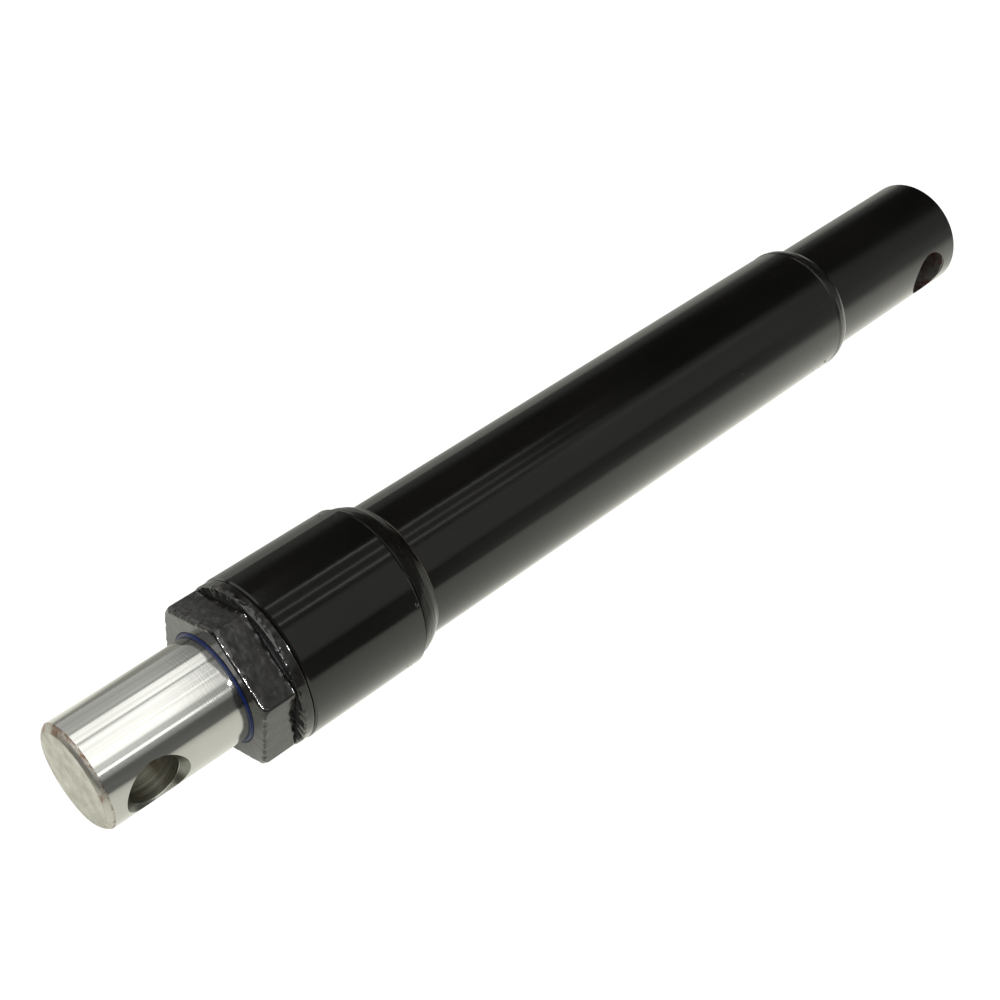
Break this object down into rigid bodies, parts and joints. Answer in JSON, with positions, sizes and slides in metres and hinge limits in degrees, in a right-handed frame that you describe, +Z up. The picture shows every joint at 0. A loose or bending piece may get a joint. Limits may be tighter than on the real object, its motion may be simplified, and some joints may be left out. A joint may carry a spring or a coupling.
{
  "type": "single-acting hydraulic cylinder",
  "caption": "Hydraulic cylinder with a sliding rod, a hexagonal packing nut and cross pin holes at both ends.",
  "frame": {"origin": "centre of the pin hole in the base lug", "axes": "+X along the cylinder towards the rod end, +Y along the pin holes, +Z up, with the port underneath"},
  "size_m": [0.4224, 0.0604, 0.0604],
  "materials": {
    "black_paint": "gloss",
    "nut_paint": "thick gloss",
    "rod_steel": "ground and plated",
    "plain_steel": "machined",
    "bronze": "machined",
    "packing": "matt",
    "blue_seal": "satin"
  },
  "bodies": {
    "cylinder": {"base_lug": "black_paint", "rear_weld_bead": "black_paint", "barrel_tube": "black_paint", "front_weld_bead": "black_paint", "gland_body": "black_paint", "rod_bearing": "bronze", "packing_male_ring": "plain_steel", "v_ring_1": "packing", "v_ring_2": "packing", "v_ring_3": "packing", "packing_female_ring": "plain_steel", "packing_washer": "plain_steel", "packing_nut": "nut_paint", "nut_wear_ring": "bronze", "wiper_seal": "blue_seal"},
    "stop": {"stop_collar": "plain_steel", "guide_ring": "bronze"},
    "rod": {"piston_rod": "rod_steel", "snap_ring": "plain_steel", "thrust_washer": "plain_steel"}
  },
  "joints": [
    {"name": "rod_slide", "type": "slide", "parent": "cylinder", "child": "stop", "axis": [1, 0, 0], "range_m": [0, 0.2032]},
    {"name": "rod_spin", "type": "hinge", "parent": "stop", "child": "rod", "pos_m": [0.08, 0, 0], "axis": [1, 0, 0], "continuous": true}
  ]
}
